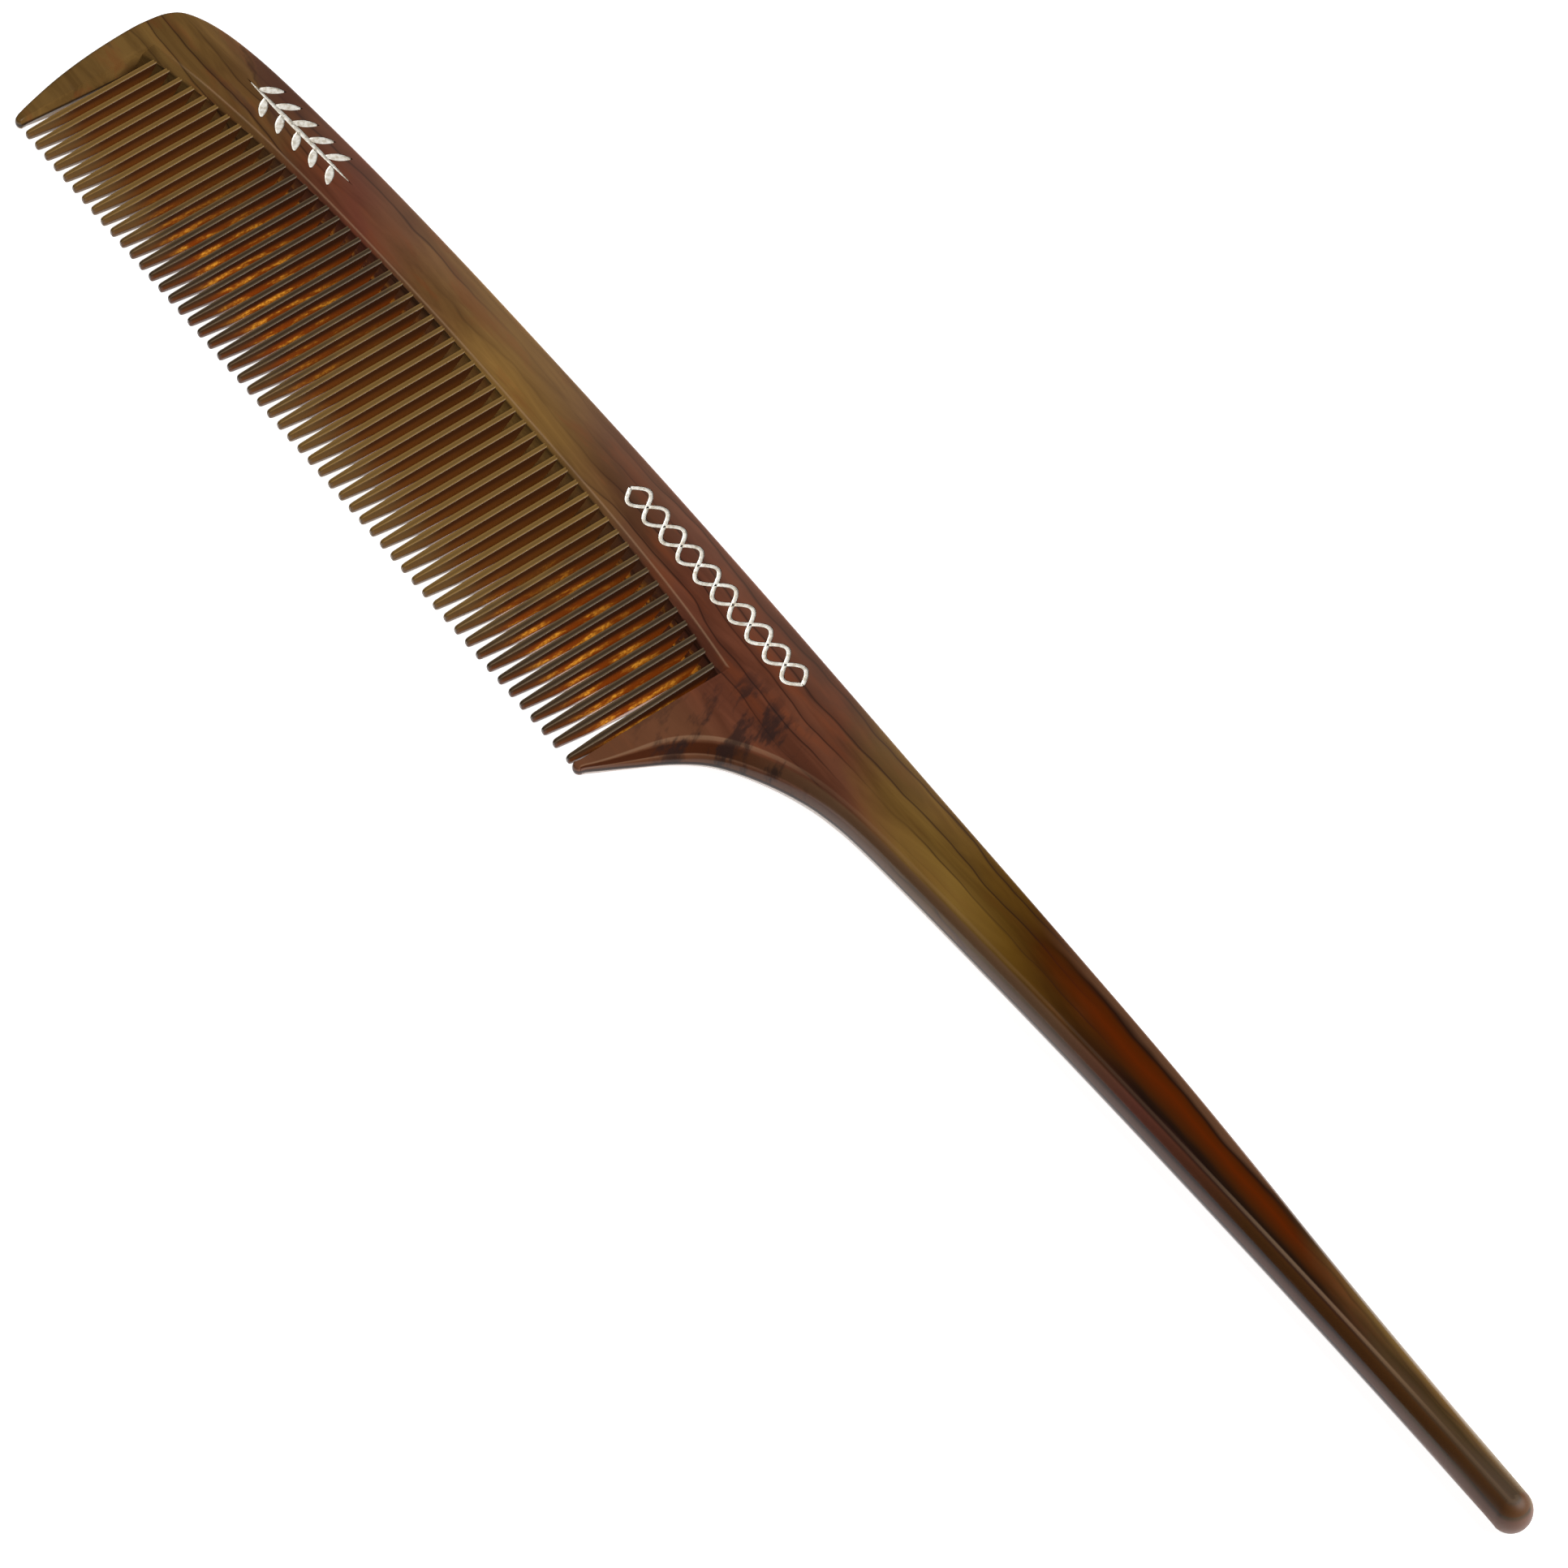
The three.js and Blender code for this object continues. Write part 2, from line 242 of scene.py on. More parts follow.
def face_height(y):
    """Half thickness of the toothed blade at y: its faces slope down to the tooth tips."""
    return TIP_HALF_THICKNESS + FACE_RISE * y


# ---- meshes ----
def join_rows(mesh, rows):
    """Faces between each ring of points and the next."""
    for low, high in zip(rows, rows[1:]):
        for index in range(len(low)):
            after = (index + 1) % len(low)
            mesh.faces.new((low[index], low[after], high[after], high[index]))


def cap_rows(mesh, rows):
    """A closed bar through rings of points, with its faces turned outwards."""
    join_rows(mesh, rows)
    mesh.faces.new(rows[-1])
    mesh.faces.new(rows[0][::-1])
    bmesh.ops.recalc_face_normals(mesh, faces=mesh.faces)


def smooth_but_sharp(mesh, sharp_angle):
    """Smooth shading that keeps the edges past an angle crisp."""
    limit = math.radians(sharp_angle)
    for edge in mesh.edges:
        edge.smooth = edge.calc_face_angle(0) < limit
    for face in mesh.faces:
        face.smooth = True


def mesh_data(name, mesh):
    data = bpy.data.meshes.new(name)
    mesh.to_mesh(data)
    mesh.free()
    return data


def in_scene(name, data):
    """A new object, at the origin until it is moved."""
    made = bpy.data.objects.new(name, data)
    bpy.context.scene.collection.objects.link(made)
    return made


def finish_mesh(name, mesh, material):
    """A smooth object of a millimetre bmesh, moved into the frame."""
    for vert in mesh.verts:
        vert.co = in_frame(*vert.co)
    mesh.normal_update()
    smooth_but_sharp(mesh, SHARP_ANGLE)
    data = mesh_data(name, mesh)
    data.materials.append(material)
    return in_scene(name, data)


# ---- foil ornaments: a leafy sprig near the head and a twist of two waves near the heel ----
def leaf(length, width, steps):
    """A pointed leaf from the origin along +x, widest a little before its middle.

    It is given as pairs of points on its two sides.
    """
    pairs = []
    for step in range(steps + 1):
        t = step / steps
        x, y = length * t * (0.9 * (1 - t) + t), 2 * width * t * (1 - t)
        pairs.append((Vector((x, -y)), Vector((x, y))))
    return pairs


def moved(pairs, shift, degrees=0.0):
    turn = Matrix.Rotation(math.radians(degrees), 2)
    return [tuple(turn @ point + Vector(shift) for point in pair) for pair in pairs]


def sprig(grow):
    """Strips of a stem with leaves on its two sides in turn, each grown by some room around it."""
    stem = leaf(SPRIG_LENGTH + 2 * grow, SPRIG_STEM + grow, STEM_STEPS)
    strips = [moved(stem, (-SPRIG_LENGTH / 2 - grow, 0))]
    for index in range(SPRIG_LEAVES):
        side = 1 if index % 2 == 0 else -1
        x = mix(*SPRIG_LEAF_SPAN, index / (SPRIG_LEAVES - 1)) * SPRIG_LENGTH
        blade = moved(leaf(LEAF_LENGTH + 2 * grow, LEAF_WIDTH + 2 * grow, LEAF_STEPS), (-grow, 0))
        strips.append(moved(blade, (x, 0), side * LEAF_ANGLE))
    return [moved(strip, SPRIG_AT, SPRIG_TURN) for strip in strips]


def twist(grow):
    """Strips of two waves that cross, each grown by some room around it."""
    strips = []
    wave = 2 * math.pi * TWIST_WAVES / TWIST_LENGTH
    steps = TWIST_WAVES * TWIST_WAVE_STEPS
    for amplitude in (TWIST_HEIGHT / 2, -TWIST_HEIGHT / 2):
        strip = []
        for step in range(steps + 1):
            x = mix(-0.5, 0.5, step / steps) * (TWIST_LENGTH + 2 * grow)
            slope = amplitude * wave * math.cos(wave * x)
            across = Vector((-slope, 1)).normalized() * (TWIST_LINE / 2 + grow)
            centre = Vector((x, amplitude * math.sin(wave * x)))
            strip.append((centre - across, centre + across))
        strips.append(moved(strip, TWIST_AT, TWIST_TURN))
    return strips


def strip_outline(strip):
    lower = [pair[0] for pair in strip]
    upper = [pair[1] for pair in reversed(strip) if (pair[1] - pair[0]).length > STRIP_POINT]
    return lower + upper


def tray_section(width):
    """A shallow tray with its rims folded up the pocket's walls, as shares of its width and depths."""
    fold = min(FOIL_FOLD / width, FOIL_FOLD_LIMIT)
    return [
        (0, STAMP_DEPTH), (0, FOIL_RIM), (fold, FOIL_BED),
        (1 - fold, FOIL_BED), (1, FOIL_RIM), (1, STAMP_DEPTH),
    ]


def build_foil(strips):
    """Thin stamped foil: each strip is a tray of its own."""
    mesh = bmesh.new()
    for strip in strips:
        rows = []
        for low, high in strip:
            width = (high - low).length
            if width < FOIL_LEAST_WIDTH:
                continue
            spots = [(low.lerp(high, share), depth) for share, depth in tray_section(width)]
            rows.append([mesh.verts.new((spot.x, spot.y, HALF - depth)) for spot, depth in spots])
        cap_rows(mesh, rows)
    return mesh


# ---- body: head, spine, guards and tail as one smooth plate ----
# A section says how far an edge stands in from the outline at height z above the mid-plane.
Edge = namedtuple("Edge", "start inward section ridged")


def round_edge(width_at, vee=0.0, fullness=2.0):
    """An edge that turns from the face to the mid-plane, where a share of it meets in a slight V.

    A fullness of 2 is a round. Above that the wall stays upright for longer.
    """
    def inset(z, at):
        height = min(1.0, abs(z / HALF))
        return width_at(at) * mix(1 - (1 - height ** fullness) ** (1 / fullness), height, vee)
    return inset


def eased_edge(width_at):
    """A slightly crowned wall with its corners rounded off."""
    def inset(z, at):
        width = width_at(at)
        share = min(1.0, max(0.0, (z - (HALF - width)) / width))
        return width * (1 - math.sqrt(1 - share * share)) + WALL_CROWN * (z / HALF) ** 2
    return inset


def guard_tip_width(at):
    return GUARD_TIP_EDGE


def tail_end_width(at):
    return TAIL_END_EDGE


def lower_width(at):
    """Fine at the heel's tip, wide along its sweep, and narrower again along the tail."""
    sweep = mix(GUARD_TIP_EDGE, HEEL_EDGE, smooth(*HEEL_SWEEP, at.y))
    sweep += (TAIL_EDGE - HEEL_EDGE) * smooth(*NECK, at.x)
    return sweep + (TAIL_END_EDGE - TAIL_EDGE) * smooth(TAIL_START, TAIL_END_X, at.x)


def upper_width(at):
    head = mix(GUARD_TIP_EDGE, EASED, smooth(*TOE_SWEEP, at.y))
    return head + (TAIL_END_EDGE - EASED) * smooth(TAIL_START, TAIL_END_X - TAIL_END_RADIUS, at.x)


def upper_edge(z, at):
    """Eased along the spine, turning into a round edge along the tail."""
    turned = smooth(*UPPER_TURN, at.x)
    return mix(eased_edge(upper_width)(z, at), round_edge(upper_width)(z, at), turned)


def lower_edge(z, at):
    """A full round with a slight V, which is rounder along the tail."""
    turned = smooth(*LOWER_TURN, at.x)
    vee = mix(HEEL_VEE, TAIL_VEE, turned)
    fullness = mix(HEEL_FULLNESS, TAIL_FULLNESS, turned)
    return round_edge(lower_width, vee, fullness)(z, at)


def drafted_wall(z, at):
    return GUARD_WALL_DRAFT * z / HALF


def band_width(at):
    """The bevel between the crease and the faces of the teeth, measured across the comb."""
    crease = crease_y(at.x)
    foot = (BAND_SLOPE * crease - HALF + TIP_HALF_THICKNESS) / (BAND_SLOPE - FACE_RISE)
    return crease - foot + BAND_OVERLAP


def gullet(z, at):
    """The end of the slots: steep from the mid-plane up to the bevel band, then shallow to the crease."""
    band = band_width(at)
    knee = HALF - band * BAND_SLOPE
    if z < knee:
        return (GULLET_DEPTH - band) * (1 - (1 - z / knee) ** GULLET_CURVE)
    return GULLET_DEPTH - band + (z - knee) / BAND_SLOPE


def tail_end_points():
    top = UPPER_EDGE[-1][1]
    low = LOWER_EDGE[-1][1]
    centre_x = TAIL_END_X - TAIL_END_RADIUS
    return arc(centre_x, (top + low) / 2, TAIL_END_RADIUS, (top - low) / 2, -90, 90, TAIL_END_STEPS)


def root_points():
    points = []
    for step in range(ROOT_STEPS + 1):
        x = mix(TOE_INNER_X, HEEL_INNER_X, step / ROOT_STEPS)
        points.append(Vector((x, crease_y(x) - GULLET_DEPTH)))
    return points


def body_sides():
    """The outline of the comb, counter-clockwise, as runs of points.

    Each run has the section of its edge, and says whether its ridge gets a painted highlight.
    """
    toe_tip = arc(*TOE_TIP_AT, TOE_TIP_RADIUS, TOE_TIP_RADIUS, 190, 350, TIP_STEPS)
    heel_tip = arc(*HEEL_TIP_AT, HEEL_TIP_RADIUS, HEEL_TIP_RADIUS, 180, 355, TIP_STEPS)
    root = root_points()
    toe_wall = [Vector((TOE_INNER_X, y)) for y in range(1, INNER_WALL_TOP)]
    heel_wall = [Vector((HEEL_INNER_X, y)) for y in range(INNER_WALL_TOP, 0, -1)]
    lower = spline(LOWER_EDGE, LOWER_STEPS)
    upper = spline(UPPER_EDGE, UPPER_STEPS)[::-1]
    return [
        (toe_tip, round_edge(guard_tip_width), False),
        ([toe_tip[-1], *toe_wall, root[0]], drafted_wall, False),
        (root, gullet, True),
        ([root[-1], *heel_wall, heel_tip[0]], drafted_wall, False),
        (heel_tip, round_edge(guard_tip_width), False),
        ([heel_tip[-1], *lower[1:]], lower_edge, True),
        (tail_end_points(), round_edge(tail_end_width), True),
        ([*upper[:-1], toe_tip[0]], upper_edge, False),
    ]


def outline_edges(sides):
    edges = []
    for points, section, ridged in sides:
        for start, end in zip(points, points[1:]):
            run = (end - start).normalized()
            edges.append(Edge(start, Vector((-run.y, run.x)), section, ridged))
    return edges


def inset_loop(edges, z, extra=0.0):
    """The outline moved in by its sections at a height. A sharp corner keeps each side's own inset."""
    loop = []
    for index, (start, inward, section, _) in enumerate(edges):
        _, inward_before, section_before, _ = edges[index - 1]
        before = section_before(z, start) + extra
        after = section(z, start) + extra
        cosine = inward.dot(inward_before)
        if cosine > CORNER_COSINE:
            move = (inward + inward_before) * (before + after) / 2 / (1 + cosine)
        else:
            spread = 1 - cosine * cosine
            move = (inward_before * (before - cosine * after) + inward * (after - cosine * before)) / spread
        loop.append(start + move)
    return loop


def guard_share(x, y):
    """The share of its thickness that the comb keeps: less towards the guards' tips, all elsewhere."""
    past_toe = smooth(TOE_INNER_X, TOE_INNER_X + GUARD_BLEND, x)
    before_heel = smooth(HEEL_INNER_X, HEEL_INNER_X - GUARD_BLEND, x)
    share = min(1.0, max(0.0, y / GUARD_FULL_Y))
    thinned = mix(GUARD_TIP_SHARE, 1.0, 1 - (1 - share) ** GUARD_THINNING)
    return mix(thinned, 1.0, min(past_toe, before_heel))


def inside(spot, loop):
    crossings = 0
    for a, b in zip(loop, loop[1:] + loop[:1]):
        if (a.y > spot.y) != (b.y > spot.y) and spot.x < mix(a.x, b.x, (spot.y - a.y) / (b.y - a.y)):
            crossings += 1
    return crossings % 2 == 1


def guard_points(loop):
    """Points spread over the guards' faces, so that they can be thinned evenly."""
    found = []
    for first_x, last_x in GUARD_FACES:
        for column in range(int((last_x - first_x) / GUARD_GRID)):
            for row in range(1, int(GUARD_GRID_TOP / GUARD_GRID) + 1):
                spot = Vector((first_x + (column + row % 2 / 2) * GUARD_GRID, row * GUARD_GRID))
                gaps = [(spot - point).length for point in loop if abs(point.x - spot.x) < GUARD_SEARCH]
                if min(gaps) > GUARD_CLEARANCE and inside(spot, loop):
                    found.append(spot)
    return found


def close_face(mesh, row, loop, z, pockets):
    """Fill one face of the plate. Pocket outlines are sunk to their own flat floors."""
    coords = [*loop, *guard_points(loop)]
    outlines = [list(range(len(loop)))]
    for pocket in pockets:
        outlines.append(list(range(len(coords), len(coords) + len(pocket))))
        coords += pocket
    made, _, faces, came_from, _, owners = delaunay_2d_cdt(
        coords, [], outlines, FACES_INSIDE_OUTLINES, SAME_POINT,
    )
    level = [row[source[0]] if source and source[0] < len(loop) else None for source in came_from]
    sunk = [None] * len(made)
    up = z > 0
    rim = []
    for face, owner in zip(faces, owners):
        if 0 not in owner:
            continue
        low = len(owner) > 1
        corners = []
        for index in face:
            store = sunk if low else level
            if store[index] is None:
                depth = STAMP_DEPTH if low else 0.0
                store[index] = mesh.verts.new((made[index].x, made[index].y, z - depth if up else z))
            corners.append(store[index])
        mesh.faces.new(corners if up else corners[::-1])
        if low:
            rim += zip(face, [*face[1:], face[0]])
    known = set(rim)
    for a, b in rim:
        if (b, a) not in known:
            mesh.faces.new((sunk[b], sunk[a], level[a], level[b]))


def build_body():
    edges = outline_edges(body_sides())
    levels = [share * HALF for share in LEVEL_SHARES]
    stack = [(-HALF, FACE_SUPPORT)]
    stack += [(-z, 0.0) for z in reversed(levels[1:])]
    stack += [(z, 0.0) for z in levels]
    stack += [(HALF, FACE_SUPPORT)]
    mesh = bmesh.new()
    root = mesh.verts.layers.float.new("root")
    ridge = mesh.verts.layers.float.new("ridge")
    edge_band = mesh.verts.layers.float.new("edge_band")
    loops = [inset_loop(edges, abs(z), extra) for z, extra in stack]
    rows = []
    for (z, extra), loop in zip(stack, loops):
        height = abs(z) / HALF
        row = [mesh.verts.new((p.x, p.y, z)) for p in loop]
        rows.append(row)
        for vert, edge in zip(row, edges):
            at_root = edge.section is gullet
            vert[root] = float(at_root and abs(z) < HALF * ROOT_SHARE)
            # The ridge attribute marks where the painted ridge highlight is laid.
            vert[ridge] = float(edge.ridged and extra == 0) * smooth(RIDGE_SHARE, 1.0, height)
            vert[edge_band] = (1 - height) * float(edge.ridged and not at_root)
    join_rows(mesh, rows)
    pockets = [strip_outline(strip) for strip in (*sprig(STAMP_GAP), *twist(STAMP_GAP))]
    close_face(mesh, rows[-1], loops[-1], HALF, pockets)
    close_face(mesh, rows[0], loops[0], -HALF, [])
    for vert in mesh.verts:
        vert.co.z *= guard_share(vert.co.x, vert.co.y)
    return mesh


# ---- teeth ----
def tooth_section(half, face_half, height):
    """Half a tooth's section from the middle of the front face to the mid-plane, as x, z and a wall share.

    The share runs from -1 in the shallow groove along the face to 0 at its edge and 1 at the mid-plane.
    """
    land = min(TOOTH_LAND, height / 4)
    corner = min(TOOTH_CORNER, face_half / 4)
    return [
        (0, height - GROOVE_DEPTH, -1),
        (face_half * 0.3, height, -0.7),
        (face_half * 0.65, height + GROOVE_DEPTH / 2, -0.35),
        (face_half - corner, height, 0),
        (face_half, height - corner * 0.8, 0.15),
        (mix(face_half, half, 0.12), mix(height, land, 0.18), 0.3),
        (mix(face_half, half, 0.5), mix(height, land, 0.52), 0.6),
        (half - 0.03, land * 1.6, 0.9),
        (half, 0, 1),
    ]


def tooth_ring(half, face_half, height):
    side = tooth_section(half, face_half, height)
    right = side + [(x, -z, w) for x, z, w in side[-2::-1]]
    left = [(-x, z, w) for x, z, w in right[-2:0:-1]]
    return right + left


def tooth_stations():
    """Half width, half width of the front face, and half thickness at heights above the tooth's tip."""
    below = SHOULDER_HEIGHT - SHOULDER_BELOW
    above = SHOULDER_HEIGHT + SHOULDER_ABOVE
    rounded_tip = [
        (0.0, 0.20, 0.10, 0.26), (0.05, 0.28, 0.155, 0.38), (0.16, 0.335, 0.19, 0.47),
        (0.4, 0.375, 0.215, face_height(0.4)),
    ]
    return [
        *rounded_tip,
        (2.0, mix(TIP_HALF, TOOTH_HALF, 0.55), 0.29, face_height(2.0)),
        (below, SHOULDER_HALF, SHOULDER_FACE_HALF - 0.02, face_height(below)),
        (above, TOOTH_HALF, SHOULDER_FACE_HALF, face_height(above)),
        (7, TOOTH_HALF, 0.35, face_height(7)),
        (11, TOOTH_HALF, 0.32, face_height(11)),
        (ROOT_TOP, TOOTH_HALF, TOOTH_FACE_HALF, face_height(ROOT_TOP)),
    ]


def build_tooth():
    """One tooth, its root's end at the origin and its tip along -y."""
    mesh = bmesh.new()
    wall = mesh.verts.layers.float.new("wall")
    rows = []
    for y, half, face_half, height in tooth_stations():
        row = []
        for x, z, share in tooth_ring(half, face_half, height):
            vert = mesh.verts.new((x, y - ROOT_TOP, z))
            vert[wall] = share
            row.append(vert)
        rows.append(row)
    cap_rows(mesh, rows)
    smooth_but_sharp(mesh, TOOTH_SHARP_ANGLE)
    mesh.transform(Matrix.Scale(MM, 4))
    return mesh_data("one_tooth", mesh)


def row_tree(material):
    """Repeats a tooth along the row. The last one leans, and each carries a tone of its own."""
    tree = bpy.data.node_groups.new("tooth_row", "GeometryNodeTree")
    tree.interface.new_socket("Tooth", in_out="INPUT", socket_type="NodeSocketGeometry")
    sizes = (
        ("Count", "NodeSocketInt"), ("Pitch", "NodeSocketFloat"), ("Start", "NodeSocketVector"),
        ("Last lean", "NodeSocketFloat"), ("Seed", "NodeSocketInt"),
    )
    identifiers = {}
    for name, kind in sizes:
        identifiers[name] = tree.interface.new_socket(name, in_out="INPUT", socket_type=kind).identifier
    tree.interface.new_socket("Row", in_out="OUTPUT", socket_type="NodeSocketGeometry")
    nodes = tree.nodes
    given = nodes.new("NodeGroupInput")
    out = nodes.new("NodeGroupOutput")
    step = nodes.new("ShaderNodeCombineXYZ")
    line = nodes.new("GeometryNodeMeshLine")
    line.mode = "OFFSET"
    put = nodes.new("GeometryNodeInstanceOnPoints")
    index = nodes.new("GeometryNodeInputIndex")
    last = nodes.new("ShaderNodeMath")
    last.operation = "SUBTRACT"
    last.inputs[1].default_value = 1
    is_last = nodes.new("FunctionNodeCompare")
    is_last.data_type = "INT"
    is_last.operation = "EQUAL"
    lean = nodes.new("ShaderNodeCombineXYZ")
    turn = nodes.new("GeometryNodeRotateInstances")
    own_tone = nodes.new("FunctionNodeRandomValue")
    own_tone.data_type = "FLOAT"
    keep = nodes.new("GeometryNodeStoreNamedAttribute")
    keep.data_type = "FLOAT"
    keep.domain = "INSTANCE"
    keep.inputs["Name"].default_value = "tone"
    real = nodes.new("GeometryNodeRealizeInstances")
    coat = nodes.new("GeometryNodeSetMaterial")
    coat.inputs["Material"].default_value = material
    links = [
        (given, "Pitch", step, "X"),
        (given, "Count", line, "Count"),
        (given, "Start", line, "Start Location"),
        (step, "Vector", line, "Offset"),
        (line, "Mesh", put, "Points"),
        (given, "Tooth", put, "Instance"),
        (put, "Instances", turn, "Instances"),
        (given, "Count", last, 0),
        (index, "Index", is_last, "A"),
        (last, "Value", is_last, "B"),
        (is_last, "Result", turn, "Selection"),
        (given, "Last lean", lean, "Z"),
        (lean, "Vector", turn, "Rotation"),
        (turn, "Instances", keep, "Geometry"),
        (given, "Seed", own_tone, "Seed"),
        (own_tone, "Value", keep, "Value"),
        (keep, "Geometry", real, "Geometry"),
        (real, "Geometry", coat, "Geometry"),
        (coat, "Geometry", out, "Row"),
    ]
    for source, output, target, socket in links:
        tree.links.new(source.outputs[output], target.inputs[socket])
    return tree, identifiers


def build_teeth(material):
    holder = in_scene("teeth_maker", build_tooth())
    tree, identifiers = row_tree(material)
    repeat = holder.modifiers.new("row", "NODES")
    repeat.node_group = tree
    repeat[identifiers["Count"]] = TOOTH_COUNT
    repeat[identifiers["Pitch"]] = TOOTH_PITCH * MM
    repeat[identifiers["Start"]] = in_frame(FIRST_TOOTH_X, ROOT_TOP, 0)
    repeat[identifiers["Last lean"]] = math.atan(LAST_TOOTH_LEAN / ROOT_TOP)
    repeat[identifiers["Seed"]] = TONE_SEED
    made = holder.evaluated_get(bpy.context.evaluated_depsgraph_get())
    data = bpy.data.meshes.new_from_object(made)
    data.name = "teeth"
    bpy.data.objects.remove(holder)
    return in_scene("teeth", data)


# ---- materials ----
def tone(red, green, blue):
    """A colour given in screen values from 0 to 255."""
    linear = []
    for value in (red, green, blue):
        share = value / 255
        linear.append(share / 12.92 if share <= 0.04045 else ((share + 0.055) / 1.055) ** 2.4)
    return (*linear, 1.0)


class Paint:
    """Short calls that build a material's nodes."""

    def __init__(self, name):
        self.material = bpy.data.materials.new(name)
        self.material.use_nodes = True
        self.nodes = self.material.node_tree.nodes
        self.links = self.material.node_tree.links
        self.shader = self.nodes["Principled BSDF"].inputs

    def feed(self, socket, value):
        if isinstance(value, bpy.types.NodeSocket):
            self.links.new(value, socket)
        else:
            socket.default_value = value

    def math(self, operation, a, b=0.0, c=0.0):
        node = self.nodes.new("ShaderNodeMath")
        node.operation = operation
        for socket, value in zip(node.inputs, (a, b, c)):
            self.feed(socket, value)
        return node.outputs[0]

    def add(self, a, b):
        return self.math("ADD", a, b)

    def times(self, a, b):
        return self.math("MULTIPLY", a, b)

    def scaled(self, value, factor, plus):
        """The value times the factor, plus something."""
        return self.math("MULTIPLY_ADD", value, factor, plus)

    def fade(self, value, low, high):
        """0 at low, 1 at high, smooth between. High may be the smaller of the two."""
        node = self.nodes.new("ShaderNodeMapRange")
        node.interpolation_type = "SMOOTHSTEP"
        if low > high:
            low, high = high, low
            node.inputs["To Min"].default_value = 1
            node.inputs["To Max"].default_value = 0
        node.inputs["From Min"].default_value = low
        node.inputs["From Max"].default_value = high
        self.feed(node.inputs["Value"], value)
        return node.outputs["Result"]

    def between(self, value, low, high, soft):
        """1 from low to high, with borders that fade over twice the soft distance."""
        rising = self.fade(value, low - soft, low + soft)
        return self.times(rising, self.fade(value, high + soft, high - soft))

    def blend(self, share, a, b, kind="MIX"):
        node = self.nodes.new("ShaderNodeMix")
        node.data_type = "RGBA"
        node.blend_type = kind
        self.feed(node.inputs[0], share)
        self.feed(node.inputs[6], a)
        self.feed(node.inputs[7], b)
        return node.outputs[2]

    def ramp(self, value, stops, low=0.0, high=1.0):
        """Colours at places from low to high, blended between."""
        node = self.nodes.new("ShaderNodeValToRGB")
        elements = node.color_ramp.elements
        while len(elements) < len(stops):
            elements.new(0.5)
        for element, (position, colour) in zip(elements, stops):
            element.position = (position - low) / (high - low)
            element.color = colour
        share = self.math("DIVIDE", self.math("SUBTRACT", value, low), high - low)
        self.links.new(share, node.inputs["Fac"])
        return node.outputs["Color"]

    def vector(self, x, y, z):
        node = self.nodes.new("ShaderNodeCombineXYZ")
        for socket, value in zip(node.inputs, (x, y, z)):
            self.feed(socket, value)
        return node.outputs["Vector"]

    def stretched(self, place, scale, offset=(0, 0, 0)):
        node = self.nodes.new("ShaderNodeVectorMath")
        node.operation = "MULTIPLY_ADD"
        self.feed(node.inputs[0], place)
        node.inputs[1].default_value = scale
        self.feed(node.inputs[2], offset)
        return node.outputs[0]

    def noise(self, place, detail=2.0, roughness=0.5, distortion=0.0):
        node = self.nodes.new("ShaderNodeTexNoise")
        self.feed(node.inputs["Vector"], place)
        node.inputs["Scale"].default_value = 1
        node.inputs["Detail"].default_value = detail
        node.inputs["Roughness"].default_value = roughness
        node.inputs["Distortion"].default_value = distortion
        return node.outputs["Fac"]

    def attribute(self, name):
        node = self.nodes.new("ShaderNodeAttribute")
        node.attribute_name = name
        return node.outputs["Fac"]

    def bump(self, height, strength, distance):
        """Unevenness of the surface, its distance in millimetres."""
        node = self.nodes.new("ShaderNodeBump")
        node.inputs["Strength"].default_value = strength
        node.inputs["Distance"].default_value = distance * MM
        self.feed(node.inputs["Height"], height)
        self.links.new(node.outputs["Normal"], self.shader["Normal"])


class CombPaint(Paint):
    """Paint that is laid in layers and knows its place on the comb.

    The place is in the comb's own millimetres: x along the row, y up from the tooth tips, z from the
    mid-plane.
    """

    def __init__(self, name):
        super().__init__(name)
        node = self.nodes.new("ShaderNodeTexCoord")
        self.place = self.stretched(node.outputs["Object"], (1 / MM,) * 3, tuple(-ORIGIN / MM))
        split = self.nodes.new("ShaderNodeSeparateXYZ")
        self.links.new(self.place, split.inputs[0])
        self.x, self.y, self.z = (split.outputs[axis] for axis in "XYZ")
        self.colour = (1, 1, 1, 1)

    def clouds(self, fineness, detail=2.0, roughness=0.5, distortion=0.0, offset=(0, 0, 0)):
        """Noise over the comb, from 0 to 1. The fineness along x, y and z is per millimetre."""
        return self.noise(self.stretched(self.place, fineness, offset), detail, roughness, distortion)

    def wander(self, fineness, amount):
        """Noise that strays to both sides of 0."""
        return self.times(self.add(self.clouds(fineness, 3), -0.5), amount)

    def lay(self, share, colour, strength=1.0):
        """Lay a colour over the ones so far, where the share is above 0."""
        if strength != 1.0:
            share = self.times(share, strength)
        self.colour = self.blend(share, self.colour, colour)

    def gloss(self, roughness, bump, dull=0.0):
        """Polished plastic: faint unevenness and fine lengthwise scratches. Dull is added roughness."""
        wear = self.clouds((0.4, 0.5, 0.5), 3)
        scratch = self.fade(self.clouds((0.35, 9, 3), 2), 0.62, 0.72)
        rough = self.add(self.times(wear, roughness * 0.6), roughness * 0.7)
        self.feed(self.shader["Roughness"], self.add(self.add(rough, dull), self.times(scratch, 0.08)))
        self.shader["Specular IOR Level"].default_value = 0.22
        self.bump(self.add(self.clouds((0.25, 0.35, 0.35), 2), self.times(scratch, -0.05)), 0.25, bump)

    def finished(self):
        self.feed(self.shader["Base Color"], self.colour)
        return self.material


